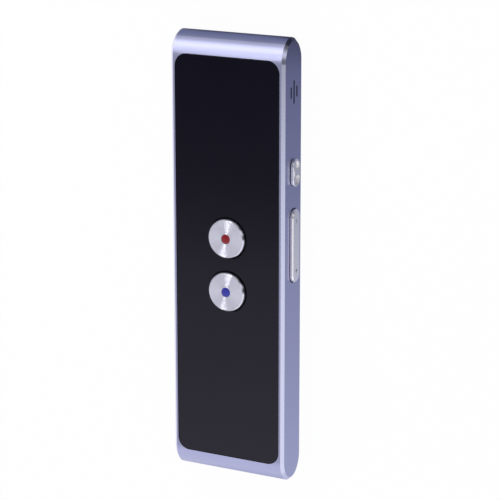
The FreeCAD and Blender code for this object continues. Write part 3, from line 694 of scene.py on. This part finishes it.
def studio_floor(studio):
    """A wide pale floor at the height that the translator rests on. To mirror rays it glows with painted
    reflections.
    """
    mesh = bmesh.new()
    bmesh.ops.create_grid(mesh, x_segments=8, y_segments=8, size=studio.floor_size / 2)
    data = bpy.data.meshes.new("studio_floor")
    mesh.to_mesh(data)
    mesh.free()
    floor = bpy.data.objects.new("studio_floor", data)
    bpy.context.scene.collection.objects.link(floor)
    paint = bpy.data.materials.new("studio_floor")
    finish = Finish(paint)
    camera = finish.node("ShaderNodeLightPath", output="Is Camera Ray")
    mirror = finish.node("ShaderNodeLightPath", output="Is Glossy Ray")
    clear = finish.node("ShaderNodeLightPath", output="Is Transmission Ray")
    across, along = finish.parts(finish.place())[:2]
    right = finish.node("ShaderNodeValToRGB", {"stops": FLOOR_STOPS},
                        {0: (along - FLOOR_START) / FLOOR_LENGTH})
    beyond = along.smooth(*BEYOND_ALONG) * across.smooth(*BEYOND_ACROSS, 1.0, 0.0)
    left = across.smooth(*LEFT_ACROSS, 1.0, 0.0) * (1 - beyond)
    painted_reflections = finish.mix(left, finish.mix(beyond, right, BEYOND_COLOUR), LEFT_COLOUR)
    matt = finish.node("ShaderNodeBsdfDiffuse", {}, {"Color": opaque(studio.floor_colour)})
    white = finish.node("ShaderNodeEmission", {}, {"Strength": 1.0})
    # Painted reflections: to mirror rays the floor glows with these light and dark bands in place of its
    # plain white
    card = finish.node("ShaderNodeEmission", {}, {"Color": painted_reflections, "Strength": 1.0})
    seen = finish.node("ShaderNodeMixShader", {}, {0: camera * FLOOR_WHITE, 1: matt, 2: white})
    seen = finish.node("ShaderNodeMixShader", {}, {0: clear, 1: seen, 2: white})
    seen = finish.node("ShaderNodeMixShader", {}, {0: mirror, 1: seen, 2: card})
    finish.node("ShaderNodeOutputMaterial", {}, {"Surface": seen})
    data.materials.append(paint)


def studio_sky(studio):
    """Soft light, brightest from the bottom end, with a dark card for the panel. White to the camera."""
    world = bpy.data.worlds.new("studio_sky")
    bpy.context.scene.world = world
    finish = Finish(world)
    towards = finish.node("ShaderNodeTexCoord", output="Generated")
    across, along = finish.parts(towards)[:2]
    level = along.smooth(*SKY_FALL, studio.sky_level, studio.sky_level * studio.sky_far)
    right = finish.ramp((along + 1) / 2, RIGHT_STOPS)
    near = finish.node("ShaderNodeVectorMath", {"operation": "DOT_PRODUCT"}, {0: towards, 1: CARD_AT},
                       output="Value")
    card = finish.ramp((near - CARD_EDGE) * CARD_RISE, CARD_STOPS)
    edge = across.smooth(*RIGHT_EDGE)
    level = card * (level * (1 - edge) + right * edge)
    camera = finish.node("ShaderNodeLightPath", output="Is Camera Ray")
    colour = finish.mix(camera, opaque(studio.sky_colour), WHITE)
    light = finish.node("ShaderNodeBackground", {},
                        {"Color": colour, "Strength": camera + (1 - camera) * level})
    finish.node("ShaderNodeOutputWorld", {}, {"Surface": light})


def studio_lamp(name, towards, sides, power):
    """A soft rectangular lamp that faces the translator."""
    data = bpy.data.lights.new(name, "AREA")
    data.shape = "RECTANGLE"
    data.size, data.size_y = sides
    data.energy = power
    lamp = bpy.data.objects.new(name, data)
    away = Vector(towards).normalized()
    lamp.location = away * LAMP_DISTANCE
    lamp.rotation_euler = away.to_track_quat("Z", "Y").to_euler()
    lamp.visible_camera = False
    bpy.context.scene.collection.objects.link(lamp)


class TRANSLATOR_OT_studio(bpy.types.Operator):
    """Sets up the floor, the light and the camera"""

    bl_idname = "translator.studio"
    bl_label = "Set up the studio"

    def execute(self, context):
        studio = context.scene.translator_studio
        studio_floor(studio)
        studio_sky(studio)
        studio_lamp("top_lamp", TOP_LAMP_AT, TOP_LAMP_SIDES, studio.top_lamp)
        studio_lamp("key_lamp", KEY_LAMP_AT, KEY_LAMP_SIDES, studio.key_lamp)
        data = bpy.data.cameras.new("camera")
        data.sensor_width = SENSOR_WIDTH
        data.lens = studio.lens
        data.clip_start = NEAREST
        camera = bpy.data.objects.new("camera", data)
        back = CAMERA_RIGHT.cross(CAMERA_UP)
        camera.matrix_world = Matrix.Translation(CAMERA_PLACE) @ Matrix(
            (CAMERA_RIGHT, CAMERA_UP, back)).transposed().to_4x4()
        context.scene.collection.objects.link(camera)
        context.scene.camera = camera
        context.scene.view_settings.view_transform = "Standard"
        return {"FINISHED"}


STEPS = (TRANSLATOR_OT_inner_parts, TRANSLATOR_OT_talk_keys, TRANSLATOR_OT_volume_marks,
         TRANSLATOR_OT_socket_contacts, TRANSLATOR_OT_studio)


class TRANSLATOR_PT_sidebar(bpy.types.Panel):
    """Lists the steps in the order in which they run"""

    bl_label = "Handheld translator"
    bl_idname = "TRANSLATOR_PT_sidebar"
    bl_space_type = "VIEW_3D"
    bl_region_type = "UI"
    bl_category = "Translator"

    def draw(self, context):
        for step in STEPS:
            self.layout.operator(step.bl_idname)


GROUPS = {"translator_body": BodyLook, "translator_keys": KeyLook, "translator_studio": StudioLook}


def register():
    for kind in (*GROUPS.values(), *STEPS, TRANSLATOR_PT_sidebar):
        bpy.utils.register_class(kind)
    for name, group in GROUPS.items():
        setattr(bpy.types.Scene, name, PointerProperty(type=group))


def unregister():
    for name in GROUPS:
        delattr(bpy.types.Scene, name)
    for kind in reversed((*GROUPS.values(), *STEPS, TRANSLATOR_PT_sidebar)):
        bpy.utils.unregister_class(kind)


def main():
    register()
    for step in STEPS:
        group, name = step.bl_idname.split(".")
        getattr(getattr(bpy.ops, group), name)()


if __name__ == "__main__":
    main()
